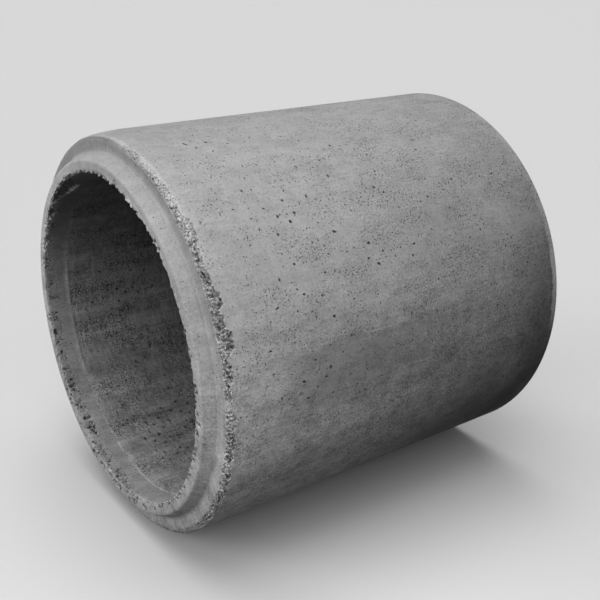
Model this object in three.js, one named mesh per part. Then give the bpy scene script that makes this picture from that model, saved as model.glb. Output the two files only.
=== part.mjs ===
// Concrete sewer pipe with a tongue-and-groove (rebated) joint, lying on its side.
// Millimetres, +Z up. The axis lies along X: the tongue points to -X and the groove opens to +X.
// The origin is on the ground, under the middle of the pipe.

import * as THREE from 'three';
import { mergeVertices } from 'three/addons/utils/BufferGeometryUtils.js';

// Bore, wall and length
const boreRadius = 400;
const wallThickness = 90;
const layingLength = 1000;

// Tongue (the male end): a short cone that narrows towards its nose
const tongueLength = 30;
const tongueRootRadius = 444;
const tongueNoseRadius = 432;
const tongueNoseRounding = 4;
const tongueRootFillet = 7;

// Groove (the female end): the tongue's own cone with room round it for mortar
const mortarClearance = 4;
const mortarGapAtNose = 4;
const grooveFillet = 7;
const grooveMouthRounding = 3;

// Arrises of the barrel and of the bore
const shoulderArrisRounding = 15;
const endFaceArrisRounding = 6;
const boreMouthRounding = 3;
const grooveSeatRounding = 4;

// Band inside the tongue's mouth, where the steel joint ring of the mould widens the bore a little
const ringBandLength = 64;
const ringBandStep = 1.5;
const ringBandLip = 3;

// Fineness of the turned solid. A whole number of quarters puts flats under, over and beside the pipe.
const segmentsPerQuarter = 24;
const stepsPerRounding = 4;

const outerRadius = boreRadius + wallThickness;
const overallLength = layingLength + tongueLength;
const segments = 4 * segmentsPerQuarter;

// Corners of the wall's section. Each is a point (radius, distance from the nose) with its rounding,
// in the order nose, barrel, groove, bore, which turns the faces outwards.
function wallSection() {
  const coneSlope = (tongueRootRadius - tongueNoseRadius) / tongueLength;
  const grooveDepth = tongueLength + mortarGapAtNose;
  const grooveMouthRadius = tongueRootRadius + mortarClearance;
  const grooveSeatRadius = grooveMouthRadius - coneSlope * grooveDepth;
  const seat = overallLength - grooveDepth;
  return [
    { radius: boreRadius + ringBandStep, along: 0, rounding: boreMouthRounding },
    { radius: tongueNoseRadius, along: 0, rounding: tongueNoseRounding },
    { radius: tongueRootRadius, along: tongueLength, rounding: tongueRootFillet },
    { radius: outerRadius, along: tongueLength, rounding: shoulderArrisRounding },
    { radius: outerRadius, along: overallLength, rounding: endFaceArrisRounding },
    { radius: grooveMouthRadius, along: overallLength, rounding: grooveMouthRounding },
    { radius: grooveSeatRadius, along: seat, rounding: grooveFillet },
    { radius: boreRadius, along: seat, rounding: grooveSeatRounding },
    { radius: boreRadius, along: ringBandLength + ringBandLip, rounding: 0 },
    { radius: boreRadius + ringBandStep, along: ringBandLength, rounding: 0 },
  ];
}

// Points of an arc that touches both edges of a corner, convex or concave.
function roundedCorner(before, corner, after) {
  const point = new THREE.Vector2(corner.radius, corner.along);
  if (corner.rounding === 0) return [point];
  const towardsBefore = new THREE.Vector2(before.radius, before.along).sub(point).normalize();
  const towardsAfter = new THREE.Vector2(after.radius, after.along).sub(point).normalize();
  const halfAngle = Math.acos(towardsBefore.dot(towardsAfter)) / 2;
  const bisector = towardsBefore.clone().add(towardsAfter).normalize();
  const centre = point.clone().addScaledVector(bisector, corner.rounding / Math.sin(halfAngle));
  const setback = corner.rounding / Math.tan(halfAngle);
  const start = point.clone().addScaledVector(towardsBefore, setback).sub(centre);
  const end = point.clone().addScaledVector(towardsAfter, setback).sub(centre);
  const sweep = Math.atan2(start.cross(end), start.dot(end));
  const arc = [];
  for (let step = 0; step <= stepsPerRounding; step += 1) {
    const turned = start.clone().rotateAround(new THREE.Vector2(), (sweep * step) / stepsPerRounding);
    arc.push(turned.add(centre));
  }
  return arc;
}

// The closed outline of the wall, with every corner rounded.
function sectionOutline(corners) {
  const outline = corners.flatMap((corner, index) => {
    const before = corners[(index + corners.length - 1) % corners.length];
    const after = corners[(index + 1) % corners.length];
    return roundedCorner(before, corner, after);
  });
  return [...outline, outline[0].clone()];
}

// The wall turned about the pipe's axis. Half a segment of turn lays the pipe on a flat, not on an edge.
function turnedWall() {
  const turned = new THREE.LatheGeometry(sectionOutline(wallSection()), segments, Math.PI / segments);
  turned.deleteAttribute('normal');
  turned.deleteAttribute('uv');
  const wall = mergeVertices(turned, 1e-3);
  wall.computeVertexNormals();
  return wall;
}

const castConcrete = new THREE.MeshStandardMaterial({
  color: 0x9b9b98,
  roughness: 0.93,
  metalness: 0,
});

const concretePipe = new THREE.Mesh(turnedWall(), castConcrete);
concretePipe.name = 'concrete_pipe';
concretePipe.rotation.z = -Math.PI / 2;
concretePipe.position.x = -overallLength / 2;
concretePipe.position.z = outerRadius * Math.cos(Math.PI / segments);

const sewerPipe = new THREE.Group();
sewerPipe.add(concretePipe);

export default sewerPipe;
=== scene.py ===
import math
import random

import bmesh
import bpy
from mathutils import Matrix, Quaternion, Vector, kdtree, noise


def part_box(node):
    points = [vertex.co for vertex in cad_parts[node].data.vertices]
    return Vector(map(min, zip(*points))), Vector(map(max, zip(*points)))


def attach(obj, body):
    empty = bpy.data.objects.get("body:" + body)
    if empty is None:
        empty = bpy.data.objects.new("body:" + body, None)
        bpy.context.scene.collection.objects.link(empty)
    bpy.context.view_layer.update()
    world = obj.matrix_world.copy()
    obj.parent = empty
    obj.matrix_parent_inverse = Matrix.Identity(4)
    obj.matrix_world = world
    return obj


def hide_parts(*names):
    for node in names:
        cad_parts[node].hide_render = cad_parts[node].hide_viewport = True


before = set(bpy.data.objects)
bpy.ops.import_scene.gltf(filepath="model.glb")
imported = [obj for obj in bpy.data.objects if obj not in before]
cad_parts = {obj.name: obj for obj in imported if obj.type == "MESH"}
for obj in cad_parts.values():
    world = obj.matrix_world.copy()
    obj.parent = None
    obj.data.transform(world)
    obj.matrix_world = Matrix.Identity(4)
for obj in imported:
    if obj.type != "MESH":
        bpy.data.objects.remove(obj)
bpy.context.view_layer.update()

# The wall of the pipe is one casting of dry concrete, rammed in a steel mould that stands on end.
# Its section is drawn as a flat strip between bore and barrel, with the tongue drawn out of one end
# and the groove let into the other, and then swept once round the pipe's axis.
pipe_low, pipe_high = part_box("concrete_pipe")
nose_x = pipe_low.x
end_x = pipe_high.x
barrel_radius = (pipe_high.z - pipe_low.z) / 2
axis_height = (pipe_high.z + pipe_low.z) / 2
pipe_axis = Vector((1, 0, 0))
axis_point = Vector((0, 0, axis_height))

bore_radius = 0.400
mid_wall_radius = (bore_radius + barrel_radius) / 2
tongue_length = 0.030
tongue_root_radius = 0.444
tongue_nose_radius = 0.432
mortar_clearance = 0.004
groove_depth = tongue_length + mortar_clearance
groove_mouth_radius = tongue_root_radius + mortar_clearance
groove_taper = (tongue_root_radius - tongue_nose_radius) / tongue_length
groove_seat_radius = groove_mouth_radius - groove_taper * groove_depth
shoulder_x = nose_x + tongue_length
seat_x = end_x - groove_depth
ring_band_length = 0.064
ring_band_step = 0.0015
ring_band_lip = 0.003
ring_band_x = nose_x + ring_band_length
ring_lip_x = ring_band_x + ring_band_lip
lip_radius = bore_radius + ring_band_step

bpy.ops.object.select_all(action="DESELECT")
strip_middle = ((shoulder_x + seat_x) / 2, 0, axis_height + mid_wall_radius)
bpy.ops.mesh.primitive_plane_add(size=1, location=strip_middle, rotation=(math.radians(90), 0, 0))
pipe = bpy.context.object
pipe.name = "pipe_wall"
pipe.scale = (seat_x - shoulder_x, barrel_radius - bore_radius, 1)
bpy.ops.object.transform_apply(location=True, rotation=True, scale=True)
bpy.ops.object.mode_set(mode="EDIT")


def select_where(kind, wanted):
    """Selects the vertices or edges whose corners all pass the test, and nothing else."""
    bpy.ops.mesh.select_all(action="DESELECT")
    bpy.ops.mesh.select_mode(type=kind)
    shape = bmesh.from_edit_mesh(pipe.data)
    for item in shape.verts if kind == "VERT" else shape.edges:
        corners = [item] if kind == "VERT" else item.verts
        if all(wanted(corner.co) for corner in corners):
            item.select_set(True)
    shape.select_flush_mode()
    bmesh.update_edit_mesh(pipe.data)


tolerance = 1e-5


def near(value, target):
    return abs(value - target) < tolerance


def section_radius(p):
    """How far a corner of the flat section lies from the axis."""
    return p.z - axis_height


def corner_at(x, radius):
    return (x, 0, axis_height + radius)


def cut_edge_at(edge_test, target):
    """Puts one new vertex into an edge of the flat section, at the given corner."""
    select_where("EDGE", edge_test)
    bpy.ops.mesh.subdivide(number_cuts=1)
    shape = bmesh.from_edit_mesh(pipe.data)
    chosen = [corner for corner in shape.verts if corner.select]
    middle = [corner for corner in chosen if sum(edge.select for edge in corner.link_edges) == 2]
    bpy.ops.mesh.select_all(action="DESELECT")
    bpy.ops.mesh.select_mode(type="VERT")
    middle[0].select_set(True)
    move = Vector(target) - middle[0].co
    bmesh.update_edit_mesh(pipe.data)
    bpy.ops.transform.translate(value=move)


# the tongue is drawn out of the wall's inner part, and narrows towards its nose
cut_edge_at(lambda p: near(p.x, shoulder_x), corner_at(shoulder_x, tongue_root_radius))
select_where("EDGE", lambda p: near(p.x, shoulder_x) and section_radius(p) < tongue_root_radius + tolerance)
bpy.ops.mesh.extrude_region_move(TRANSFORM_OT_translate={"value": (-tongue_length, 0, 0)})
select_where("VERT", lambda p: near(p.x, nose_x) and near(section_radius(p), tongue_root_radius))
bpy.ops.transform.translate(value=(0, 0, tongue_nose_radius - tongue_root_radius))

# the wall's outer part is drawn on past the groove's seat, which leaves the groove
cut_edge_at(lambda p: near(p.x, seat_x), corner_at(seat_x, groove_seat_radius))
select_where("EDGE", lambda p: near(p.x, seat_x) and section_radius(p) > groove_seat_radius - tolerance)
bpy.ops.mesh.extrude_region_move(TRANSFORM_OT_translate={"value": (groove_depth, 0, 0)})
select_where("VERT", lambda p: near(p.x, end_x) and near(section_radius(p), groove_seat_radius))
bpy.ops.transform.translate(value=(0, 0, groove_mouth_radius - groove_seat_radius))

bpy.ops.mesh.select_mode(type="FACE")
bpy.ops.mesh.select_all(action="SELECT")
bpy.ops.mesh.dissolve_faces()
bpy.ops.mesh.select_all(action="SELECT")
bpy.ops.mesh.dissolve_limited(angle_limit=math.radians(0.5))


def on_barrel(p):
    return near(section_radius(p), barrel_radius)


def on_bore(p):
    return near(section_radius(p), bore_radius)


def on_ring_band(p):
    return near(section_radius(p), lip_radius)


def on_cone(p):
    return section_radius(p) > tongue_nose_radius and not shoulder_x < p.x < seat_x


# the band inside the mouth, where the mould's joint ring widens the bore a little
cut_edge_at(on_bore, corner_at(ring_lip_x, bore_radius))
cut_edge_at(lambda p: on_bore(p) and p.x < ring_lip_x + tolerance, corner_at(ring_band_x, bore_radius))
select_where("VERT", lambda p: on_bore(p) and p.x < ring_band_x + tolerance)
bpy.ops.transform.translate(value=(0, 0, ring_band_step))

# Every corner is rounded, as the mould leaves it: where it is, its radius and the steps of its curve.
mouth_rounding = 0.003
corner_roundings = [
    (nose_x, lip_radius, mouth_rounding, 2),
    (nose_x, tongue_nose_radius, 0.004, 2),
    (shoulder_x, tongue_root_radius, 0.007, 3),
    (shoulder_x, barrel_radius, 0.015, 5),
    (end_x, barrel_radius, 0.006, 3),
    (end_x, groove_mouth_radius, 0.003, 2),
    (seat_x, groove_seat_radius, 0.007, 3),
    (seat_x, bore_radius, 0.004, 2),
]
for corner_x, corner_radius, rounding, steps in corner_roundings:
    select_where("VERT", lambda p: near(p.x, corner_x) and near(section_radius(p), corner_radius))
    bpy.ops.mesh.bevel(offset=rounding, offset_type="OFFSET", segments=steps, profile=0.5, affect="VERTICES")
bpy.ops.mesh.select_mode(type="FACE")
bpy.ops.mesh.select_all(action="SELECT")
bpy.ops.mesh.delete(type="ONLY_FACE")

# Rings along the wall: close together at the tongue's end, whose edges are worn, and wider elsewhere.
worn_ring_spacing = 0.0045
joint_ring_spacing = 0.0115
plain_ring_spacing = 0.0235
columns_round_the_pipe = 144
worn_barrel_length = 0.055
worn_mouth_length = 0.052
worn_barrel_x = shoulder_x + worn_barrel_length
worn_mouth_x = nose_x + worn_mouth_length
groove_cone_radius = groove_mouth_radius - 0.0005


def cut_long_edges(edge_test, spacing):
    """Divides the section's edges that are longer than the spacing into steps of about that length."""
    select_where("EDGE", edge_test)
    shape = bmesh.from_edit_mesh(pipe.data)
    for edge in shape.edges:
        if edge.calc_length() <= spacing:
            edge.select_set(False)
    longest = max(edge.calc_length() for edge in shape.edges if edge.select)
    bpy.ops.mesh.subdivide(number_cuts=math.ceil(longest / spacing) - 1)


cut_edge_at(on_barrel, corner_at(worn_barrel_x, barrel_radius))
cut_edge_at(on_ring_band, corner_at(worn_mouth_x, lip_radius))
cut_long_edges(lambda p: on_barrel(p) and p.x < worn_barrel_x + tolerance, worn_ring_spacing)
cut_long_edges(lambda p: on_barrel(p) and p.x > worn_barrel_x - tolerance, plain_ring_spacing)
cut_long_edges(lambda p: on_ring_band(p) and p.x < worn_mouth_x + tolerance, worn_ring_spacing)
cut_long_edges(lambda p: on_ring_band(p) and p.x > worn_mouth_x - tolerance, joint_ring_spacing)
cut_long_edges(on_bore, plain_ring_spacing)
for face_x in (nose_x, shoulder_x):
    cut_long_edges(lambda p: near(p.x, face_x), worn_ring_spacing)
for face_x in (seat_x, end_x):
    cut_long_edges(lambda p: near(p.x, face_x), joint_ring_spacing)
cut_long_edges(lambda p: on_cone(p) and p.x < shoulder_x, joint_ring_spacing)
cut_long_edges(
    lambda p: on_cone(p) and p.x > seat_x and section_radius(p) < groove_cone_radius,
    joint_ring_spacing,
)

bpy.ops.mesh.select_all(action="SELECT")
bpy.ops.mesh.spin(steps=columns_round_the_pipe, angle=math.radians(360), center=axis_point, axis=pipe_axis)
bpy.ops.mesh.select_all(action="SELECT")
bpy.ops.mesh.remove_doubles(threshold=tolerance)
bpy.ops.mesh.normals_make_consistent(inside=False)


def place_of(point):
    """Where a point lies on the pipe: along from the nose, out from the axis, and round the clock."""
    along = point.x - nose_x
    out = math.hypot(point.y, point.z - axis_height)
    clock = math.degrees(math.atan2(-point.y, point.z - axis_height))
    return along, out, clock


# The worn edges of the tongue's end get five times the columns, pushed out from the chords to the true
# circle. The two limits of the flat faces lie a little way into the nose's rounding and the root's fillet.
fine_columns_each = 5
column_angle = 360 / columns_round_the_pipe
nose_flat_radius = 0.4285
shoulder_flat_radius = 0.4505
slack = 0.0002
before_shoulder = tongue_length - slack
past_shoulder = tongue_length + slack


def in_arris_zone(point):
    along, out, clock = place_of(point)
    return out > shoulder_flat_radius and before_shoulder < along < past_shoulder + worn_barrel_length


def in_mouth_zone(point):
    along, out, clock = place_of(point)
    if along > worn_mouth_length + slack or out > nose_flat_radius:
        return False
    return along < slack or out < lip_radius + mouth_rounding + slack


def add_columns(zone):
    """Cuts the edges that run round the pipe in a zone, and sets the new corners on the circle."""
    select_where("EDGE", zone)
    shape = bmesh.from_edit_mesh(pipe.data)
    for edge in shape.edges:
        if edge.select:
            first_clock, last_clock = (place_of(corner.co)[2] for corner in edge.verts)
            if abs(first_clock - last_clock) < 0.1:
                edge.select_set(False)
    bpy.ops.mesh.subdivide(number_cuts=fine_columns_each - 1)
    shape = bmesh.from_edit_mesh(pipe.data)
    for corner in shape.verts:
        if zone(corner.co):
            past_middle = place_of(corner.co)[2] % column_angle - column_angle / 2
            stretch = math.cos(math.radians(past_middle)) / math.cos(math.radians(column_angle / 2))
            corner.co.y *= stretch
            corner.co.z = axis_height + (corner.co.z - axis_height) * stretch
    bmesh.update_edit_mesh(pipe.data)


add_columns(in_arris_zone)
add_columns(in_mouth_zone)

# Where the arris of the shoulder has crumbled: clock angle, half width in degrees, and how far from the
# nose the broken skin reaches along the barrel, in millimetres.
crumbled_places = [
    (24, 4, 38), (33, 5, 44), (44, 5, 53), (51, 3, 43), (58, 4, 47), (62, 3, 56), (67, 3, 50),
    (72, 4, 60), (79.5, 3, 46), (92, 2.5, 46), (98, 3, 48), (103, 2, 44), (108, 3, 46), (114, 5, 46),
    (124, 6, 45), (148, 9, 47), (176, 7, 44), (-152, 8, 49), (-118, 9, 45), (-83, 8, 43),
]
plain_reach = 0.0395
arris_line_radius = 0.4785


def eased(value, low, high):
    """Rises smoothly from 0 to 1 as the value goes from low to high."""
    part = min(1, max(0, (value - low) / (high - low)))
    return part * part * (3 - 2 * part)


def faded(value, low, high):
    """Falls smoothly from 1 to 0 as the value goes from low to high."""
    return 1 - eased(value, low, high)


def degrees_between(first, second):
    return abs((first - second + 180) % 360 - 180)


def about(clock, centre, inner, outer):
    """1 within the inner angle of a clock place, and falls to 0 at the outer angle from it."""
    return faded(degrees_between(clock, centre), inner, outer)


def arris_wear(point):
    """How far the skin has broken away round the shoulder's arris, from 0 to 1."""
    along, out, clock = place_of(point)
    if out < shoulder_flat_radius or not before_shoulder < along < 0.075:
        return 0
    ragged = noise.noise(point * 120) * 0.0025
    depth_of_band = plain_reach
    for place_clock, half_width, reach in crumbled_places:
        closeness = about(clock, place_clock, half_width * 0.4, half_width)
        depth_of_band = max(depth_of_band, plain_reach + (reach / 1000 - plain_reach) * closeness)
    on_side = faded(along + ragged, depth_of_band - 0.002, depth_of_band + 0.001)
    on_face = eased(out + 1.5 * ragged, 0.4740, arris_line_radius)
    right_side = about(clock, 88, 46, 70)
    top_side = about(clock, -30, 31, 48)
    far_side = (0.5 + 0.3 * noise.noise(Vector((clock * 0.11, 0, 4)))) * (1 - 0.85 * top_side)
    strength = far_side + (1 - far_side) * right_side
    strength *= 0.65 + 0.35 * eased(noise.noise(point * 38 + Vector((7, 0, 0))), -0.30, 0.10)
    strength *= 0.15 + 0.85 * eased(degrees_between(clock, 88), 0.8, 2.2)
    return on_side * on_face * strength


def mouth_wear(point):
    """How much the inner edge of the tongue has crumbled, from 0 to 1."""
    along, out, clock = place_of(point)
    if along > 0.034 or out > nose_flat_radius:
        return 0
    from_edge = max(along, out - lip_radius)
    ragged = noise.noise(point * 90) * 0.004
    top = about(clock, 14, 20, 34)
    low_right = about(clock, 114, 20, 34)
    upper_left = about(clock, -48, 20, 32)
    left = about(clock, -128, 50, 64)
    width = 0.0045 + 0.0045 * top + 0.0005 * low_right + 0.0030 * upper_left
    amount = (0.7 + 0.3 * max(top, upper_left) - 0.2 * low_right) * (1 - 0.8 * left)
    return faded(from_edge + ragged, width * 0.5, width) * amount


# The piece that has broken out of the top left of the mouth: clock angle, and how far into the bore it
# reaches there, in metres.
chip_reach = [
    (-60, 0), (-58.4, 0.002), (-56.2, 0.006), (-53.2, 0.019), (-49, 0.006), (-47, 0.008), (-44.2, 0.018),
    (-43.2, 0.026), (-36, 0.050), (-30, 0.026), (-23, 0),
]


def chip_edge(clock):
    for (first_clock, first_reach), (last_clock, last_reach) in zip(chip_reach, chip_reach[1:]):
        if first_clock <= clock <= last_clock:
            change = last_reach - first_reach
            return first_reach + change * (clock - first_clock) / (last_clock - first_clock)
    return 0


def mouth_chip(point):
    """How deep the chip is, from 0 to 1: deepest at the mouth's edge, and steep at its own edge."""
    along, out, clock = place_of(point)
    reach = chip_edge(clock)
    if reach == 0 or along > 0.053 or out > nose_flat_radius:
        return 0
    inside = faded(along + 0.003 * noise.noise(point * 150), reach - 0.004, reach)
    on_nose = faded(out + 0.004 * noise.noise(point * 150), 0.4035, 0.4085)
    return inside * on_nose * (1 - 0.3 * eased(along, 0.005, 0.040))


# The broken concrete catches the light along the chip's edge: how far from the nose, clock angle, and
# radius in metres.
pale_breaks = [
    (0.051, -36.3, 0.006), (0.046, -37.8, 0.008), (0.040, -39.6, 0.008), (0.034, -41.4, 0.006),
    (0.027, -43.0, 0.0045), (0.020, -44.0, 0.0045), (0.014, -45.2, 0.0045), (0.009, -46.6, 0.0045),
    (0.019, -53.6, 0.0045), (0.012, -54.9, 0.0045), (0.006, -56.4, 0.0050), (0.002, -58.4, 0.0050),
]
# Single deep pits on the nose: how far out from the axis, and clock angle. Two more lie on the mouth's lip,
# given by how far they are from the nose.
nose_pits = [
    (0.425, 175), (0.424, 171), (0.420, 162), (0.416, 163.5), (0.420, -178), (0.419, -156),
    (0.411, -170), (0.409, 176), (0.415, 154), (0.406, 168), (0.412, -163), (0.4105, 83.8),
    (0.4130, 85.4), (0.4120, 92.7), (0.4190, 95.8), (0.4125, 99.6), (0.4105, 105.4), (0.4115, 107.6),
    (0.4120, 109.9), (0.4095, 117.3), (0.4090, 119.9), (0.4095, 124.8), (0.4100, 129.7),
    (0.4100, 132.9), (0.4080, 137.5), (0.4070, 141.7), (0.4070, 146.8), (0.4120, 149.7),
    (0.4100, 40), (0.4120, 42.5), (0.4135, 12.5),
]
lip_pits = [(0.002, -53), (0.002, -45)]
deep_pit_radius = 0.0062
# Clusters of small pits over the lip of the mouth: how far inside it, or out on the nose where it is less
# than 0, and clock angle.
pit_clusters = [
    (-0.004, -80), (0.001, -91), (0.006, -98), (-0.007, -103), (0.010, -107), (0.004, -114), (-0.012, -117),
    (0.004, -123), (0.016, -128), (-0.010, -131), (0.004, -137), (-0.008, -145), (0.018, -145), (0.031, -149),
    (0.006, -158), (-0.012, -163), (0.006, -168), (-0.014, -174), (0.020, -173), (0.008, 176), (-0.014, 168),
]
pits_in_a_cluster = 7


def nearness(point, places):
    """How near a point is to the nearest of some places, each given with its own radius, from 0 to 1."""
    nearest = 0
    for place, radius in places:
        away = (point - place).length
        if away < 1.5 * radius:
            away += 0.35 * radius * noise.noise(point * 300)
            nearest = max(nearest, faded(away, radius * 0.5, radius * 1.1))
    return nearest


def place_on_pipe(along, out, clock):
    """The point at a given distance from the nose, out from the axis, and round the clock."""
    turn = Quaternion(pipe_axis, math.radians(clock))
    return axis_point + Vector((nose_x + along, 0, 0)) + turn @ Vector((0, 0, out))


break_places = [(place_on_pipe(along, bore_radius, clock), radius) for along, clock, radius in pale_breaks]
pit_places = [(place_on_pipe(0, out, clock), deep_pit_radius) for out, clock in nose_pits]
pit_places += [(place_on_pipe(along, lip_radius, clock), deep_pit_radius) for along, clock in lip_pits]
rim_shuffle = random.Random(12)
for number in range(30):
    clock = 70 + 2.7 * number + rim_shuffle.gauss(0, 1.8)
    out = 0.4025 + abs(rim_shuffle.gauss(0.0035, 0.0030))
    pit_places.append((place_on_pipe(0, out, clock), rim_shuffle.uniform(0.0026, 0.0056)))
for cluster_inside, cluster_clock in pit_clusters:
    for number in range(pits_in_a_cluster):
        inside = cluster_inside + rim_shuffle.gauss(0, 0.008)
        clock = cluster_clock + rim_shuffle.gauss(0, 2.4)
        place = place_on_pipe(max(inside, 0), lip_radius + max(-inside, 0), clock)
        pit_places.append((place, rim_shuffle.uniform(0.0020, 0.0038)))


def mouth_pits(point):
    """How deep the pits at the mouth are, from 0 to 1."""
    along, out, clock = place_of(point)
    if along > 0.036 or out > nose_flat_radius:
        return 0
    return nearness(point, pit_places)


def loose_rim(point):
    """Loose, open concrete in clusters at the mouth's rim, down its left and across the nose at the foot."""
    along, out, clock = place_of(point)
    if along > 0.053 or out > nose_flat_radius:
        return 0
    left = about(clock, -130, 45, 70)
    foot = about(clock, -176, 18, 30)
    upper_left = about(clock, -58, 18, 30)
    upper_right = about(clock, 30, 22, 36)
    clusters = eased(noise.noise(point * 30), -0.10, 0.12)
    nose_limit = 0.406 + 0.018 * max(foot, 0.8 * left) + 0.012 * (upper_left + upper_right)
    near_edge = faded(along, 0.018, 0.036) * faded(out, nose_limit - 0.004, nose_limit + 0.004)
    off_the_edge = max(eased(along, 0.003, 0.007), eased(out, 0.4045, 0.4070))
    return max(left, upper_left, 0.6 * upper_right) * clusters * near_edge * off_the_edge


def rubbed_edge(point):
    """The shoulder's arris is rubbed rounder at the top left."""
    along, out, clock = place_of(point)
    if out < 0.468 or not before_shoulder < along < 0.12:
        return 0
    return about(clock, -25, 22, 48) * eased(out, 0.466, 0.4897) * faded(along, 0.025, 0.115)


# The faces that carry pits are halved once more, and so are those that carry stones on the side that is
# worn most.
bpy.ops.mesh.select_all(action="DESELECT")
bpy.ops.mesh.select_mode(type="FACE")
shape = bmesh.from_edit_mesh(pipe.data)
for face in shape.faces:
    if len(face.verts) != 4:
        continue
    middle = face.calc_center_median()
    pit_depth = mouth_pits(middle) + max(mouth_pits(corner.co) for corner in face.verts)
    on_worn_side = degrees_between(place_of(middle)[2], 74) < 72
    if pit_depth > 0.05 or (on_worn_side and max(arris_wear(corner.co) for corner in face.verts) > 0.25):
        face.select_set(True)
bmesh.update_edit_mesh(pipe.data)
bpy.ops.mesh.subdivide(number_cuts=1)

# Air holes, left where bubbles lay against the mould. The ones that stand out have places of their own: how
# far from the nose in metres, and clock angle.
given_holes = {
    "blowhole": {
        "barrel": [
            (0.275, 47), (0.373, 52), (0.345, 41), (0.496, 25), (0.429, 36), (0.450, 57), (0.462, 63),
            (0.246, 66), (0.311, 73),
        ],
        "bore": [
            (0.271, -120.8), (0.215, -126.0), (0.306, -149.9), (0.288, -159.2), (0.262, -161.0),
            (0.225, -148.5), (0.249, -151.0), (0.204, -152.3), (0.145, -148.5), (0.166, -152.6),
            (0.180, -160.0), (0.203, -163.0), (0.188, -173.0), (0.189, -59.0), (0.229, -55.9),
            (0.262, -72.6), (0.217, -75.9), (0.252, -76.5), (0.156, -86.0), (0.194, -86.1),
            (0.294, -89.3), (0.298, -78.5), (0.126, -98.4), (0.316, -96.5), (0.195, -108.7),
        ],
    },
    "large": {
        "barrel": [
            (0.199, 36), (0.516, 27), (0.366, 31), (0.437, 30), (0.532, 42), (0.551, 44), (0.438, 61),
            (0.564, 63), (0.197, 61), (0.236, 64), (0.266, 72), (0.244, 58), (0.562, 37), (0.736, 28),
            (0.722, 32), (0.767, 44), (0.622, 71), (0.767, 71), (0.805, 83), (0.832, 84), (0.750, 62),
            (0.669, 48), (0.141, 77), (0.160, 90), (0.142, 83), (0.283, 98), (0.351, 79),
        ],
        "bore": [
            (0.273, -141.1), (0.120, -149.2), (0.188, -134.0), (0.243, -125.2), (0.181, -63.8),
            (0.219, -92.1), (0.212, -104.0), (0.181, -112.5),
        ],
    },
}
side_radius = {"barrel": barrel_radius, "bore": bore_radius}
given_places = [
    (size, place_on_pipe(along, side_radius[side], clock))
    for size, sides in given_holes.items()
    for side, places in sides.items()
    for along, clock in places
]


def in_plain_zone(point):
    along, out, clock = place_of(point)
    plain_barrel = near(out, barrel_radius) and 0.087 < along < 1.010
    plain_bore = near(out, bore_radius) and 0.080 < along < 0.975
    return plain_barrel or plain_bore


# A corner of the plain rings is moved to each given place, and the rest are shifted about a little, so that
# the other air holes don't fall into rows. Near a given place they are shifted less.
shuffle = random.Random(31)
shape = bmesh.from_edit_mesh(pipe.data)
plain_corners = [corner for corner in shape.verts if in_plain_zone(corner.co)]
for size, wanted in given_places:
    nearest = min(plain_corners, key=lambda corner: (corner.co - wanted).length)
    nearest.co = wanted
    plain_corners.remove(nearest)
for corner in plain_corners:
    if 0.105 < place_of(corner.co)[0] < 0.960:
        to_given_place = min((corner.co - wanted).length for size, wanted in given_places)
        freedom = 0.3 if to_given_place < 0.036 else 1
        turn = Quaternion(pipe_axis, math.radians(freedom * shuffle.uniform(-0.85, 0.85)))
        corner.co = axis_point + turn @ (corner.co - axis_point)
        corner.co.x += freedom * shuffle.uniform(-0.009, 0.009)
bmesh.update_edit_mesh(pipe.data)
bpy.ops.object.mode_set(mode="OBJECT")

# Each kind of wear is a group of corners with weights, and a pattern of hollows pushed in along the normals.
untouched = [corner.co.copy() for corner in pipe.data.vertices]
sunk = [0] * len(untouched)


def wear_away(name, weight_of, pattern, depth, painted_shade):
    """Pushes in one kind of wear, and keeps how deep each corner went, times how dark the painted shade in
    that wear lies.
    """
    before = [corner.co.copy() for corner in pipe.data.vertices]
    group = pipe.vertex_groups.new(name=name)
    for corner in pipe.data.vertices:
        weight = weight_of(untouched[corner.index])
        if weight > 0.01:
            group.add([corner.index], weight, "REPLACE")
    hollowing = pipe.modifiers.new(name, "DISPLACE")
    hollowing.texture = pattern
    hollowing.texture_coords = "LOCAL"
    hollowing.direction = "NORMAL"
    hollowing.mid_level = 0
    hollowing.strength = -depth
    hollowing.vertex_group = name
    bpy.ops.object.modifier_apply(modifier=name)
    pipe.vertex_groups.clear()
    for corner in pipe.data.vertices:
        sunk[corner.index] += (corner.co - before[corner.index]).length * painted_shade


def hollows(name, kind, **settings):
    """A pattern of hollows: how large they are, how sharply they part, and how deep they lie on the whole."""
    pattern = bpy.data.textures.new(name, kind)
    for setting, value in settings.items():
        setattr(pattern, setting, value)
    return pattern


loose_stones = hollows("loose_stones", "VORONOI", noise_scale=0.006, contrast=1.6, intensity=0.95)
lost_stones = hollows(
    "lost_stones", "CLOUDS", noise_scale=0.0054, noise_depth=1, contrast=3.5, intensity=0.85
)
ragged_break = hollows("ragged_break", "CLOUDS", noise_scale=0.012, noise_depth=2, contrast=1.4)
mouth_teeth = hollows("mouth_teeth", "CLOUDS", noise_scale=0.0074, noise_depth=1, contrast=3.0, intensity=0.9)
even_rub = hollows("even_rub", "CLOUDS", noise_scale=0.05, contrast=0.5, intensity=1.4)
wear_away("rubbed_edge", rubbed_edge, even_rub, depth=0.007, painted_shade=0)
wear_away("arris_stones", arris_wear, loose_stones, depth=0.0038, painted_shade=1)
wear_away("arris_pockets", arris_wear, lost_stones, depth=0.0042, painted_shade=1)
wear_away("mouth_edge", mouth_wear, mouth_teeth, depth=0.0084, painted_shade=0.3)
wear_away("loose_rim", loose_rim, lost_stones, depth=0.0036, painted_shade=1.2)
wear_away("mouth_chip", mouth_chip, ragged_break, depth=0.014, painted_shade=0.3)
wear_away("mouth_pits", mouth_pits, even_rub, depth=0.0055, painted_shade=1.4)
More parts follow.
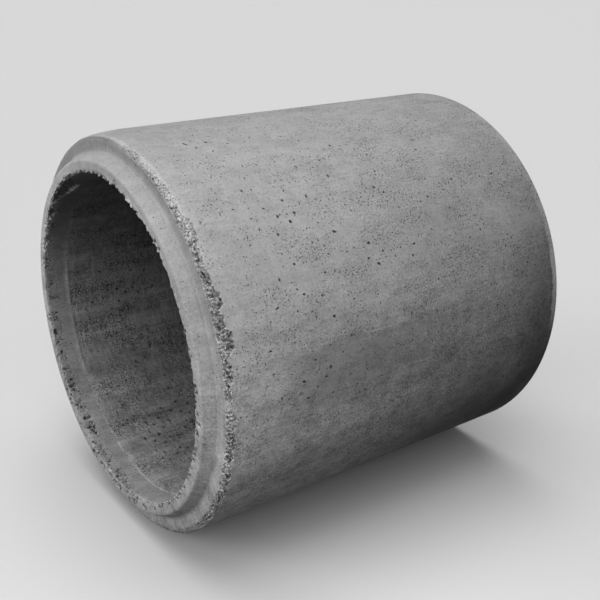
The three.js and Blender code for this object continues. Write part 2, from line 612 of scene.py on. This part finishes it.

# Nothing stands proud of the casting's own faces, and how deep each corner now lies, times how dark its
# painted shade is, is kept for the finish, which paints the hollows dark as shade. The broken edge at the
# mouth's top right lies in full light, so its painted shade is kept as half as deep.
deepest_wear = 0.008
hollow_values = pipe.data.attributes.new("hollow", "FLOAT", "POINT")
for corner, before in zip(pipe.data.vertices, untouched):
    if corner.co == before:
        continue
    out = place_of(corner.co)[1]
    if place_of(before)[0] < before_shoulder:
        corner.co.x = max(corner.co.x, nose_x)
        stretch = max(out, lip_radius) / out
    else:
        corner.co.x = max(corner.co.x, shoulder_x)
        stretch = min(out, barrel_radius) / out
    corner.co.y *= stretch
    corner.co.z = axis_height + (corner.co.z - axis_height) * stretch
    top_right = about(place_of(before)[2], 20, 26, 40)
    hollow_values.data[corner.index].value = sunk[corner.index] / deepest_wear * (1 - 0.5 * top_right)

# The sizes of air holes, as radius and depth, and how many more of each size are scattered over the wall
# besides the ones whose places are given.
air_hole_sizes = {
    "blowhole": (0.0044, 0.0062),
    "large": (0.0034, 0.0050),
    "middling": (0.0026, 0.0040),
    "small": (0.0020, 0.0032),
}
scattered_holes = {
    "blowhole": {"barrel": 14, "bore": 50},
    "large": {"barrel": 90, "bore": 170},
    "middling": {"barrel": 340, "bore": 260},
    "small": {"barrel": 260, "bore": 90},
}
# Where bubbles have gathered in the bore: how far from the nose in metres, and clock angle.
bubble_clusters = [(0.210, -157), (0.147, -161), (0.185, -174), (0.246, -94), (0.300, -140)]


def bubble_chance(point):
    """Bubbles gather in some places and leave others clear."""
    along, out, clock = place_of(point)
    chance = 0.5 + 1.3 * noise.noise(Vector((point.x * 6, point.y * 11, point.z * 11)))
    chance -= 0.6 * faded(along, 0.11, 0.20)
    if out < mid_wall_radius:
        for cluster_along, cluster_clock in bubble_clusters:
            across = math.radians(degrees_between(clock, cluster_clock)) * bore_radius
            chance += 1.2 * faded(math.hypot(along - cluster_along, across), 0.02, 0.09)
    return chance


bpy.ops.object.mode_set(mode="EDIT")
bpy.ops.mesh.select_mode(type="VERT")
shape = bmesh.from_edit_mesh(pipe.data)
free_corners = [corner for corner in shape.verts if in_plain_zone(corner.co) and len(corner.link_edges) == 4]
shuffle.shuffle(free_corners)
free_corners.sort(key=lambda corner: -bubble_chance(corner.co) - shuffle.random())
taken = set()
hole_places = {size: [] for size in air_hole_sizes}
for size, wanted in given_places:
    nearest = min(free_corners, key=lambda corner: (corner.co - wanted).length)
    taken.add(nearest)
    hole_places[size].append(nearest.co.copy())
for size, (hole_radius, hole_depth) in air_hole_sizes.items():
    still_wanted = dict(scattered_holes[size])
    for corner in free_corners:
        side = "barrel" if place_of(corner.co)[1] > mid_wall_radius else "bore"
        neighbours = {edge.other_vert(corner) for edge in corner.link_edges}
        has_room = min(edge.calc_length() for edge in corner.link_edges) > 2.2 * hole_radius
        if still_wanted[side] > 0 and has_room and corner not in taken and not neighbours & taken:
            still_wanted[side] -= 1
            taken.add(corner)
            hole_places[size].append(corner.co.copy())
bmesh.update_edit_mesh(pipe.data)


def to_the_micrometre(point):
    return tuple(round(value, 6) for value in point)


# Each hole is opened out from its corner, and its floor is let in by two steps.
for size, (hole_radius, hole_depth) in air_hole_sizes.items():
    bpy.ops.mesh.select_mode(type="VERT")
    bpy.ops.mesh.select_all(action="DESELECT")
    shape = bmesh.from_edit_mesh(pipe.data)
    wanted_places = {to_the_micrometre(place) for place in hole_places[size]}
    for corner in shape.verts:
        if to_the_micrometre(corner.co) in wanted_places:
            corner.select_set(True)
    bmesh.update_edit_mesh(pipe.data)
    bpy.ops.mesh.bevel(offset=hole_radius, offset_type="OFFSET", segments=2, profile=0.086, affect="VERTICES")
    bpy.ops.mesh.select_mode(type="FACE")
    bpy.ops.mesh.inset(thickness=hole_radius * 0.20, depth=-hole_depth * 0.70, use_even_offset=False)
    bpy.ops.mesh.inset(thickness=hole_radius * 0.35, depth=-hole_depth * 0.30, use_even_offset=False)
    # the floors of the holes, and the corners round them, are marked as hollow, so that the finish paints
    # them dark as shade
    shape = bmesh.from_edit_mesh(pipe.data)
    hollow_layer = shape.verts.layers.float["hollow"]
    for face in shape.faces:
        if face.select:
            for corner in face.verts:
                corner[hollow_layer] = 1
                for edge in corner.link_edges:
                    other = edge.other_vert(corner)
                    other[hollow_layer] = max(other[hollow_layer], 0.6)
    bmesh.update_edit_mesh(pipe.data)

# No bubble is quite round: each hole is drawn out one way and made a little uneven.
hole_list = [(place, air_hole_sizes[size][0]) for size in air_hole_sizes for place in hole_places[size]]
hole_finder = kdtree.KDTree(len(hole_list))
for number, (place, hole_radius) in enumerate(hole_list):
    hole_finder.insert(place, number)
hole_finder.balance()
hole_forms = [(shuffle.uniform(1.0, 1.6), shuffle.uniform(0, math.pi)) for place in hole_list]
shape = bmesh.from_edit_mesh(pipe.data)
for corner in shape.verts:
    centre, number, distance = hole_finder.find(corner.co)
    hole_radius = hole_list[number][1]
    if distance > hole_radius * 3:
        continue
    outwards = Vector((0, centre.y, centre.z - axis_height)).normalized()
    offset = corner.co - centre
    inwards = outwards * offset.dot(outwards)
    sideways = offset - inwards
    if sideways.length > hole_radius * 1.1:
        continue
    stretch, turn = hole_forms[number]
    long_way = pipe_axis * math.cos(turn) + pipe_axis.cross(outwards) * math.sin(turn)
    lengthwise = long_way * sideways.dot(long_way)
    uneven = 1 + 0.3 * noise.noise(corner.co * 500)
    stretched = lengthwise * stretch + (sideways - lengthwise) / math.sqrt(stretch)
    corner.co = centre + inwards + stretched * uneven
bmesh.update_edit_mesh(pipe.data)
bpy.ops.object.mode_set(mode="OBJECT")
bpy.ops.object.shade_smooth_by_angle(angle=math.radians(38))

# Two slow patterns for the finish: the skin's tone, with its painted light and shade, and how thickly it is
# pitted.
# Each patch: how far from the nose, clock angle, half length in metres, half width in degrees, how soft its
# edge is from 0 to 1, and the change of tone. Some are stains of the skin; the pale patches low on the side
# by the tongue are painted light, and the dark patches low towards the far end are painted shade.
stains_and_painted_light = [
    (0.640, 90, 0.090, 13, 0.9, -0.12),
    (0.350, 104, 0.330, 7, 0.8, 0.20),
    (0.120, 92, 0.140, 22, 0.9, 0.22),
    (0.040, 70, 0.050, 60, 0.9, 0.12),
    (0.980, 98, 0.170, 36, 0.9, -0.34),
    (0.800, 128, 0.300, 16, 0.9, -0.25),
    (0.210, 64, 0.100, 6, 0.9, 0.06),
    (0.066, 84.3, 0.016, 0.8, 0.5, 0.35),
    (1.028, 24, 0.020, 6, 0.6, 0.26),
    (1.028, 36, 0.020, 6, 0.6, 0.26),
    (1.028, 53, 0.020, 7, 0.6, 0.30),
    (0.060, 28, 0.045, 17, 0.9, 0.07),
    (0.660, -60, 0.200, 16, 0.9, -0.12),
    (0.500, 170, 0.250, 20, 0.9, -0.10),
    (0.120, -100, 0.120, 25, 0.9, 0.12),
    (0.085, 112, 0.110, 26, 0.9, 0.20),
]
# Places where the skin is open and full of small pits: from the nose, clock angle, half length and half
# width in metres. The first group is on the barrel, the second on the ring band and in the bore.
pitted_barrel = [
    (0.30, 55, 0.10, 0.05), (0.36, 68, 0.12, 0.05), (0.52, 50, 0.16, 0.08), (0.22, 72, 0.06, 0.05),
    (0.44, 30, 0.12, 0.05), (0.78, 78, 0.14, 0.09), (0.86, 45, 0.14, 0.12), (0.19, 90, 0.05, 0.04),
    (0.28, 101, 0.06, 0.03), (0.50, -60, 0.20, 0.12), (0.75, -110, 0.15, 0.10), (0.60, 150, 0.20, 0.12),
]
pitted_bore = [
    (0.008, -75, 0.010, 0.16), (0.018, -112, 0.012, 0.03), (0.016, -126, 0.014, 0.035),
    (0.014, -137, 0.014, 0.03), (0.006, -160, 0.008, 0.04), (0.20, -158, 0.09, 0.06),
    (0.25, -95, 0.08, 0.05), (0.15, -70, 0.06, 0.08), (0.30, -140, 0.10, 0.05),
    (0.18, 176, 0.07, 0.05), (0.55, 40, 0.20, 0.12), (0.60, 120, 0.20, 0.12),
]


def bore_tone(point, along, clock):
    """The bore is painted darker upwards, further in and behind the ring band, as painted shade; its edge at
    the mouth is paler, with painted light at the left and painted highlights along the chip's break.
    """
    past_ring = max(eased(along, 0.062, 0.068), eased(point.z, 0.56, 0.66))
    tone = 0.98 - (0.40 + 0.24 * past_ring) * eased(point.z, 0.38, 0.82) - 0.05 * past_ring
    tone -= 0.14 * eased(along, 0.15, 0.35) * eased(point.z, 0.12, 0.25)
    tone += 0.16 * faded(along, 0.012, 0.035) * about(clock, -74, 22, 45)
    upper_lip = about(clock, 26, 26, 42) * faded(along, 0.004, 0.010)
    left = about(clock, -110, 35, 60)
    edge = faded(along, 0.004, 0.012) * (1 + eased(noise.noise(point * 120), 0.0, 0.3))
    tone += 0.45 * upper_lip + 0.06 * left * (1 - past_ring) + 0.16 * edge
    return tone + 1.7 * nearness(point, break_places)


def nose_tone(point, out, clock):
    """The flat of the nose is painted paler at the upper left, as painted light, with pale crumbs along the
    mouth's top right.
    """
    crumbs = faded(out + 0.006 * noise.noise(point * 60), 0.4110, 0.4190) * about(clock, 32, 26, 38)
    fringe = faded(out + 0.003 * noise.noise(point * 60), 0.4070, 0.4170) * about(clock, 24, 12, 26)
    tone = 0.09 + 0.33 * about(clock, -62, 28, 62)
    return tone + 0.40 * crumbs * eased(noise.noise(point * 120), -0.1, 0.3) + 0.36 * fringe


def shoulder_tone(along, out, clock):
    """The shoulder is painted darker as shade, with a dark line of painted shade in the crease at the
    tongue's root; it is paler at the top right of its face, and a pale line of painted light runs along the
    low cone.
    """
    root = faded(abs(out - tongue_root_radius), 0.0010, 0.0035) * eased(along, 0.018, 0.024)
    low_cone = eased(along, 0.004, 0.010) * faded(along, 0.020, 0.026)
    top_face = faded(out, 0.449, 0.464) * eased(out, 0.446, 0.448)
    tone = 0.30 * top_face * about(clock, 18, 16, 32) + 0.09 * low_cone * about(clock, 118, 20, 35)
    tone -= 0.16 * eased(out, 0.446, 0.452) * about(clock, 30, 60, 100)
    tone -= 0.10 * eased(out, 0.460, 0.466) * about(clock, 92, 30, 45)
    return tone - 0.26 * root * about(clock, 112, 50, 70)


def arris_tone(along, out, clock):
    """Dark lines of painted shade lie below the shoulder's arris at the top left, and pale crumbs on it at
    the top right.
    """
    top_left = about(clock, -12, 10, 26)
    upper = about(clock, -2, 32, 46)
    below_edge = eased(out, 0.4655, 0.4695) * faded(out, 0.4770, 0.4795)
    edge_line = faded(abs(out - arris_line_radius), 0.001, 0.004) * faded(along, 0.034, 0.042)
    crumbs = about(clock, 22, 20, 36) * eased(out, arris_line_radius, 0.4820)
    return 0.16 * crumbs - below_edge * upper * (0.15 + 0.17 * top_left) - 0.38 * edge_line * top_left


def skin_painted_light_and_tone(point):
    """Tone of the cement skin with painted light and shade: paler by the tongue, darker round the side,
    underneath and towards the far end as painted shade, darker in the bore, and patches.
    """
    along, out, clock = place_of(point)
    if out < nose_flat_radius and along > max(0.001, out - lip_radius):
        return bore_tone(point, along, clock)
    uneven = 0.35 * noise.noise(point * 9)
    # painted light and shade: darker away from the top left and low down, more so towards the far end, so
    # paler by the tongue
    side = eased(degrees_between(clock, -15), 30, 90)
    far_end = eased(along + 0.03 * uneven, 0.86, 1.02)
    tone = 1.04 - (0.02 + 0.12 * side) * eased(along, 0.25, 0.95) - 0.12 * side * far_end
    tone -= (0.12 + 0.30 * eased(along, 0.2, 0.9)) * faded(point.z + 0.10 * uneven, 0.15, 0.60)
    if along < past_shoulder:
        tone += shoulder_tone(along, out, clock)
        if out < 0.433 and along < 0.012:
            tone += nose_tone(point, out, clock)
    if out > 0.464 and along < 0.045:
        tone += arris_tone(along, out, clock)
    for stain_along, stain_clock, half_length, half_width, softness, change in stains_and_painted_light:
        sideways = degrees_between(clock, stain_clock) / half_width
        away = math.hypot((along - stain_along) / half_length, sideways)
        tone += change * faded(away + uneven, 1 - softness, 1 + 0.4 * softness)
    return tone


def pitted_share(point):
    """How thickly the skin is pitted: little by the tongue, more by the groove, most in the open places."""
    along, out, clock = place_of(point)
    patches = 0.5 + 1.1 * noise.noise(Vector((point.x * 7, point.y * 13, point.z * 13)))
    if out < nose_flat_radius and along > 0.001:
        share, open_places = 0.8 + 0.6 * patches, pitted_bore
        if along < ring_band_length:
            share = 0.35 * share + 1.4 * loose_rim(point)
    elif along > past_shoulder:
        share, open_places = (0.45 + 0.60 * eased(along, 0.1, 0.7)) * (0.3 + patches), pitted_barrel
        share += 0.20 * eased(degrees_between(clock, 10), 60, 85)
    else:
        loose = loose_rim(point) if along < 0.001 else 0
        return 0.12 + 0.15 * patches + 1.4 * loose
    for place_along, place_clock, half_length, half_width in open_places:
        across = math.radians(degrees_between(clock, place_clock)) * out
        away = math.hypot((along - place_along) / half_length, across / half_width)
        share += 0.6 * faded(away + 0.5 * noise.noise(point * 30), 0.3, 1.2)
    return min(1.5, max(0, share))


painted_light_and_tone_values = pipe.data.attributes.new("painted_light_and_tone", "FLOAT", "POINT")
pitted_values = pipe.data.attributes.new("pitted", "FLOAT", "POINT")
for corner in pipe.data.vertices:
    painted_light_and_tone_values.data[corner.index].value = skin_painted_light_and_tone(corner.co)
    pitted_values.data[corner.index].value = pitted_share(corner.co)

# The finish: grey cement skin with slow changes of tone carrying painted light and shade, faint streaks along
# the pipe where it slid out of the mould, sand grain, pinholes, and open concrete wherever the skin has gone,
# with pinholes, air holes and broken places painted dark as shade.
concrete = bpy.data.materials.new("cast_concrete")
concrete.use_nodes = True
concrete.node_tree.nodes.clear()


def node(kind, sockets, **settings):
    """Adds a node to the concrete. A socket is given a value, or is fed by another node's output."""
    made = concrete.node_tree.nodes.new(kind)
    for name, value in settings.items():
        setattr(made, name, value)
    for name, value in sockets.items():
        if isinstance(value, bpy.types.NodeSocket):
            concrete.node_tree.links.new(value, made.inputs[name])
        else:
            made.inputs[name].default_value = value
    return made.outputs


def calculate(operation, first, second=0.0):
    return node("ShaderNodeMath", {0: first, 1: second}, operation=operation)["Value"]


def plus(first, second):
    return calculate("ADD", first, second)


def minus(first, second):
    return calculate("SUBTRACT", first, second)


def times(first, second):
    return calculate("MULTIPLY", first, second)


def larger(first, second):
    return calculate("MAXIMUM", first, second)


def ramp(value, low, high, at_low=0.0, at_high=1.0):
    """Goes evenly from one number to another as a value goes from low to high, and stays there past them."""
    sockets = {"Value": value, "From Min": low, "From Max": high, "To Min": at_low, "To Max": at_high}
    return node("ShaderNodeMapRange", sockets)["Result"]


def noise_tone(vector, scale, detail, roughness):
    sockets = {"Vector": vector, "Scale": scale, "Detail": detail, "Roughness": roughness}
    return node("ShaderNodeTexNoise", sockets)["Fac"]


def swing(vector, scale, detail, roughness, most):
    """A noise pattern that swings evenly round 0, by at most so much each way."""
    return ramp(noise_tone(vector, scale, detail, roughness), 0.3, 0.7, -most, most)


def grey(tone):
    return node("ShaderNodeCombineColor", {"Red": tone, "Green": tone, "Blue": tone})["Color"]


position = node("ShaderNodeTexCoord", {})["Object"]
hollow = node("ShaderNodeAttribute", {}, attribute_name="hollow")["Fac"]
painted_light_and_tone = node("ShaderNodeAttribute", {}, attribute_name="painted_light_and_tone")["Fac"]
pitted = node("ShaderNodeAttribute", {}, attribute_name="pitted")["Fac"]

# the wall unrolled flat: along the pipe plus out from the axis one way, and round the clock the other way
unrolled_radius = 0.45
place = node("ShaderNodeSeparateXYZ", {"Vector": position})
above_axis = minus(place["Z"], axis_height)
out_squared = plus(times(place["Y"], place["Y"]), times(above_axis, above_axis))
out_from_axis = calculate("POWER", out_squared, 0.5)
round_clock = times(calculate("ARCTAN2", place["Y"], above_axis), unrolled_radius)
along_and_out = plus(place["X"], out_from_axis)
unrolled = node("ShaderNodeCombineXYZ", {"X": along_and_out, "Y": round_clock})["Vector"]


def drawn_out(along_scale, round_scale):
    """The unrolled wall with its patterns drawn out: a scale under 1 makes them longer that way."""
    sockets = {"Vector": unrolled, "Scale": (along_scale, round_scale, 1)}
    return node("ShaderNodeMapping", sockets)["Vector"]


long_streaks = drawn_out(0.09, 1)
in_bore = ramp(out_from_axis, 0.415, 0.402)
past_ring_band = ramp(place["X"], ring_band_x, ring_band_x + 0.004)
in_deep_bore = times(in_bore, past_ring_band)
low_side = ramp(place["Z"], 0.76, 0.40)
on_low_barrel = times(low_side, minus(1.0, in_bore))

# the damp patch low on the barrel, with a clear upper edge
wavy_clock = plus(round_clock, swing(position, 7.0, 3, 0.5, 0.012))
damp = times(ramp(wavy_clock, -0.618, -0.630), ramp(wavy_clock, -0.770, -0.700))
damp = times(damp, ramp(place["X"], nose_x + 0.10, nose_x + 0.23))
damp = times(damp, ramp(place["X"], nose_x + 0.50, nose_x + 0.68, 1.0, 0.0))
damp = times(damp, minus(1.0, in_bore))

# tone of the skin, as a factor round 1
coarse = plus(times(in_deep_bore, 1.3), times(on_low_barrel, 1.6))
coarse = plus(coarse, ramp(minus(in_bore, in_deep_bore), 0.0, 1.0, 1.0, 1.9))
grit = plus(times(in_deep_bore, 0.9), times(on_low_barrel, 1.0))
grit = plus(grit, 0.75)
clouds = swing(position, 6.0, 5, 0.6, 0.07)
streak_strength = ramp(in_deep_bore, 0.0, 1.0, 1.0, 5.8)
streaks = swing(long_streaks, 20.0, 4, 0.6, 0.06)
streaks = times(streaks, streak_strength)
scratches = swing(long_streaks, 150.0, 2, 0.6, 0.05)
mottle = swing(position, 26.0, 6, 0.7, 0.13)
bore_groups = noise_tone(drawn_out(0.6, 1), 9.0, 2, 0.5)
bore_groups = times(ramp(bore_groups, 0.42, 0.60, -0.55, 0.8), in_deep_bore)
bore_groups = plus(bore_groups, 1.0)
smears = swing(drawn_out(1, 0.2), 110.0, 3, 0.6, 0.22)
sand = noise_tone(position, 210.0, 3, 0.75)
grain = times(ramp(pitted, 0.0, 1.0, 0.50, 1.0), times(grit, bore_groups))
grain = times(grain, ramp(damp, 0.0, 1.0, 1.0, 0.45))
sand_tone = times(ramp(sand, 0.3, 0.7, -0.34, 0.34), grain)
tone = plus(plus(clouds, streaks), sand_tone)
tone = plus(tone, times(smears, in_deep_bore))
coarse = times(coarse, ramp(damp, 0.0, 1.0, 1.0, 0.6))
tone = plus(tone, times(plus(mottle, scratches), coarse))
tone = minus(tone, times(damp, 0.26))
tone = times(plus(tone, 1.0), painted_light_and_tone)

# painted highlight: the arris of the groove's end catches the light at the side, with a dark line before it
at_side = times(ramp(round_clock, -0.44, -0.62), ramp(round_clock, -0.775, -0.715))
past_arris = minus(place["X"], end_x - 0.020)
past_arris = plus(past_arris, swing(position, 60.0, 2, 0.5, 0.003))
far_rim = plus(ramp(past_arris, -0.002, 0.003, 0.0, 1.7), ramp(past_arris, -0.014, -0.004, 0.0, -0.20))
far_rim = times(times(far_rim, at_side), ramp(out_from_axis, 0.470, 0.480))
tone = plus(tone, times(far_rim, painted_light_and_tone))

# painted light and shade at the step behind the joint ring: a painted highlight line at the foot, and at the
# side a painted highlight on the edge before a dark line of painted shade
past_ring = minus(place["X"], ring_band_x)
foot_line = ramp(calculate("ABSOLUTE", minus(past_ring, 0.001)), 0.0, 0.003, 1.30, 1.0)
side_line = plus(ramp(past_ring, -0.014, -0.003, 1.0, 1.60), ramp(past_ring, -0.002, 0.001, 0.0, -0.90))
side_line = plus(side_line, ramp(past_ring, 0.003, 0.009, 0.0, 0.30))
side_share = ramp(place["Z"], 0.20, 0.32)
broken_line = ramp(noise_tone(position, 28.0, 2, 0.5), 0.40, 0.60, 0.3, 1.1)
top_share = ramp(place["Z"], 0.56, 0.66, 1.0, 0.0)
ring_step_light_and_shade = plus(times(side_line, side_share), times(foot_line, minus(1.0, side_share)))
ring_step_light_and_shade = times(minus(ring_step_light_and_shade, 1.0), times(in_bore, top_share))
ring_step_light_and_shade = plus(times(ring_step_light_and_shade, broken_line), 1.0)
tone = times(tone, ring_step_light_and_shade)

# broken places show their stones: each a tone of its own, with gaps between that are painted dark as shade
broken = ramp(hollow, 0.02, 0.12)
stones = node("ShaderNodeTexVoronoi", {"Vector": position, "Scale": 225.0})
stone_kinds = node("ShaderNodeSeparateColor", {"Color": stones["Color"]})
stone_tone = ramp(stone_kinds["Red"], 0.0, 1.0, -0.22, 0.36)
gaps = times(ramp(stones["Distance"], 0.42, 0.60), ramp(stone_kinds["Green"], 0.40, 0.60))
gaps = times(gaps, ramp(hollow, 0.05, 0.45))
tone = times(tone, plus(times(stone_tone, broken), 1.0))
skin_brightness = 0.21
skin_tone = times(tone, skin_brightness)

# pits of three sizes, each a small dip painted dark as shade with a pale rim, which keep in groups and
# thicken in open skin
groups = ramp(noise_tone(drawn_out(0.4, 1), 24.0, 2, 0.5), 0.44, 0.58, 0.25, 1.6)
groups = times(groups, bore_groups)
openness = plus(times(pitted, groups), ramp(hollow, 0.02, 0.10, 0.0, 1.3))


def pits(scale, radius, share):
    """Pits in a share of the cells of a pattern, no larger than the radius: the dips, and their rims."""
    cells = node("ShaderNodeTexVoronoi", {"Vector": unrolled, "Scale": scale}, voronoi_dimensions="2D")
    chances = node("ShaderNodeSeparateColor", {"Color": cells["Color"]})
    held = ramp(plus(chances["Red"], times(openness, share)), 0.98, 1.02)
    size = ramp(chances["Green"], 0.0, 1.0, radius * 0.5, radius)
    inside = minus(size, cells["Distance"])
    pit = times(ramp(inside, 0.0, radius * 0.4), held)
    rim = times(ramp(inside, radius * -0.7, radius * -0.1), held)
    return pit, rim


larger_pits, larger_rims = pits(60.0, 0.17, 0.40)
middle_pits, middle_rims = pits(110.0, 0.24, 0.70)
small_pits, small_rims = pits(190.0, 0.32, 0.60)
pit_share = larger(larger_pits, times(middle_pits, 0.9))
pit_share = larger(pit_share, times(small_pits, 0.7))
rims = larger(larger_rims, larger(middle_rims, times(small_rims, 0.6)))
skin_tone = times(skin_tone, ramp(rims, 0.0, 1.0, 1.0, 1.12))

# painted shade: the bottoms of air holes and broken places, the pits and the gaps between stones are painted
# dark, darkest deep in the bore. The mixer's colour sockets are inputs 6 and 7 and output 2.
painted_shade_share = larger(ramp(hollow, 0.25, 0.80, 0.0, 0.85), times(pit_share, 0.8))
painted_shade_share = larger(painted_shade_share, times(gaps, 0.75))
skin_colour = grey(skin_tone)
painted_shade_colour = grey(ramp(in_deep_bore, 0.0, 1.0, 0.035, 0.010))
both_colours = {"Factor": painted_shade_share, 6: skin_colour, 7: painted_shade_colour}
final_colour = node("ShaderNodeMix", both_colours, data_type="RGBA")[2]

height = times(times(sand, 0.35), grain)
height = minus(height, times(pit_share, 0.9))
relief = node("ShaderNodeBump", {"Strength": 0.8, "Distance": 0.002, "Height": height})["Normal"]
finish = node(
    "ShaderNodeBsdfPrincipled",
    {"Base Color": final_colour, "Roughness": 0.93, "Specular IOR Level": 0.25, "Normal": relief},
)
node("ShaderNodeOutputMaterial", {"Surface": finish["BSDF"]})
pipe.data.materials.clear()
pipe.data.materials.append(concrete)
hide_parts("concrete_pipe")
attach(pipe, "root")

# The studio floor is one plain sheet, painted pale and matt, laid just under the pipe. It takes the pipe's
# shadow, but throws no light back up at the underside, which lies in deep shade.
floor_gap = 0.0005
bpy.ops.object.select_all(action="DESELECT")
bpy.ops.mesh.primitive_plane_add(size=200, location=(0, 0, -floor_gap))
floor = bpy.context.object
floor.name = "studio_floor"
paint = bpy.data.materials.new("floor_paint")
paint.use_nodes = True
paint.node_tree.nodes["Principled BSDF"].inputs["Base Color"].default_value = (0.46, 0.46, 0.46, 1)
paint.node_tree.nodes["Principled BSDF"].inputs["Roughness"].default_value = 0.9
floor.data.materials.append(paint)
floor.visible_diffuse = False

# Plain soft daylight: a weak even sky, large lights overhead, beyond the tongue, in front and behind, and two
# lamps hung by the tongue. Azimuth 0 is on the -Y side and turns towards +X. A large light's strength is in
# watts per square metre, and a lamp's in watts.
world = bpy.data.worlds.new("studio_air")
bpy.context.scene.world = world
world.use_nodes = True
world.node_tree.nodes["Background"].inputs["Color"].default_value = (1, 1, 1, 1)
world.node_tree.nodes["Background"].inputs["Strength"].default_value = 0.16


def towards(azimuth, elevation):
    turn, rise = math.radians(azimuth), math.radians(elevation)
    return Vector((math.sin(turn) * math.cos(rise), -math.cos(turn) * math.cos(rise), math.sin(rise)))


def hang(light, azimuth, elevation):
    """Hangs a light that shines from an azimuth and elevation, and gives the object that holds it."""
    holder = bpy.data.objects.new(light.name, light)
    bpy.context.scene.collection.objects.link(holder)
    holder.rotation_euler = (-towards(azimuth, elevation)).to_track_quat("-Z", "Y").to_euler()
    return holder


for name, azimuth, elevation, strength in (
    ("overhead_light", 0, 90, 2.0),
    ("tongue_side_light", 250, 10, 3.2),
    ("front_light", 320, 45, 1.05),
    ("rear_light", 180, 65, 0.8),
):
    soft_light = bpy.data.lights.new(name, "SUN")
    soft_light.angle = math.radians(50)
    soft_light.energy = strength
    hang(soft_light, azimuth, elevation)

lamps_point_at = Vector((nose_x, 0, 0.45))
lamp_distance = 1.3
for name, azimuth, elevation, strength in (("upper_lamp", 10, 50, 4.3), ("lower_lamp", 350, 8, 2.6)):
    lamp = bpy.data.lights.new(name, "AREA")
    lamp.size = 0.8
    lamp.energy = strength
    holder = hang(lamp, azimuth, elevation)
    holder.location = lamps_point_at + towards(azimuth, elevation) * lamp_distance
    holder.visible_camera = False

# The view is from in front of the pipe, beyond its tongue and above it, so that mouth and barrel both show.
view = bpy.data.cameras.new("view")
view.sensor_width = 36
view.lens = 55.054
camera = bpy.data.objects.new("view", view)
bpy.context.scene.collection.objects.link(camera)
camera.location = (-1.3286, -1.8919, 1.3748)
view_direction = Vector((0.5478, 0.7541, -0.3622))
camera.rotation_euler = view_direction.to_track_quat("-Z", "Y").to_euler()
bpy.context.scene.camera = camera
bpy.context.scene.view_settings.view_transform = "Standard"
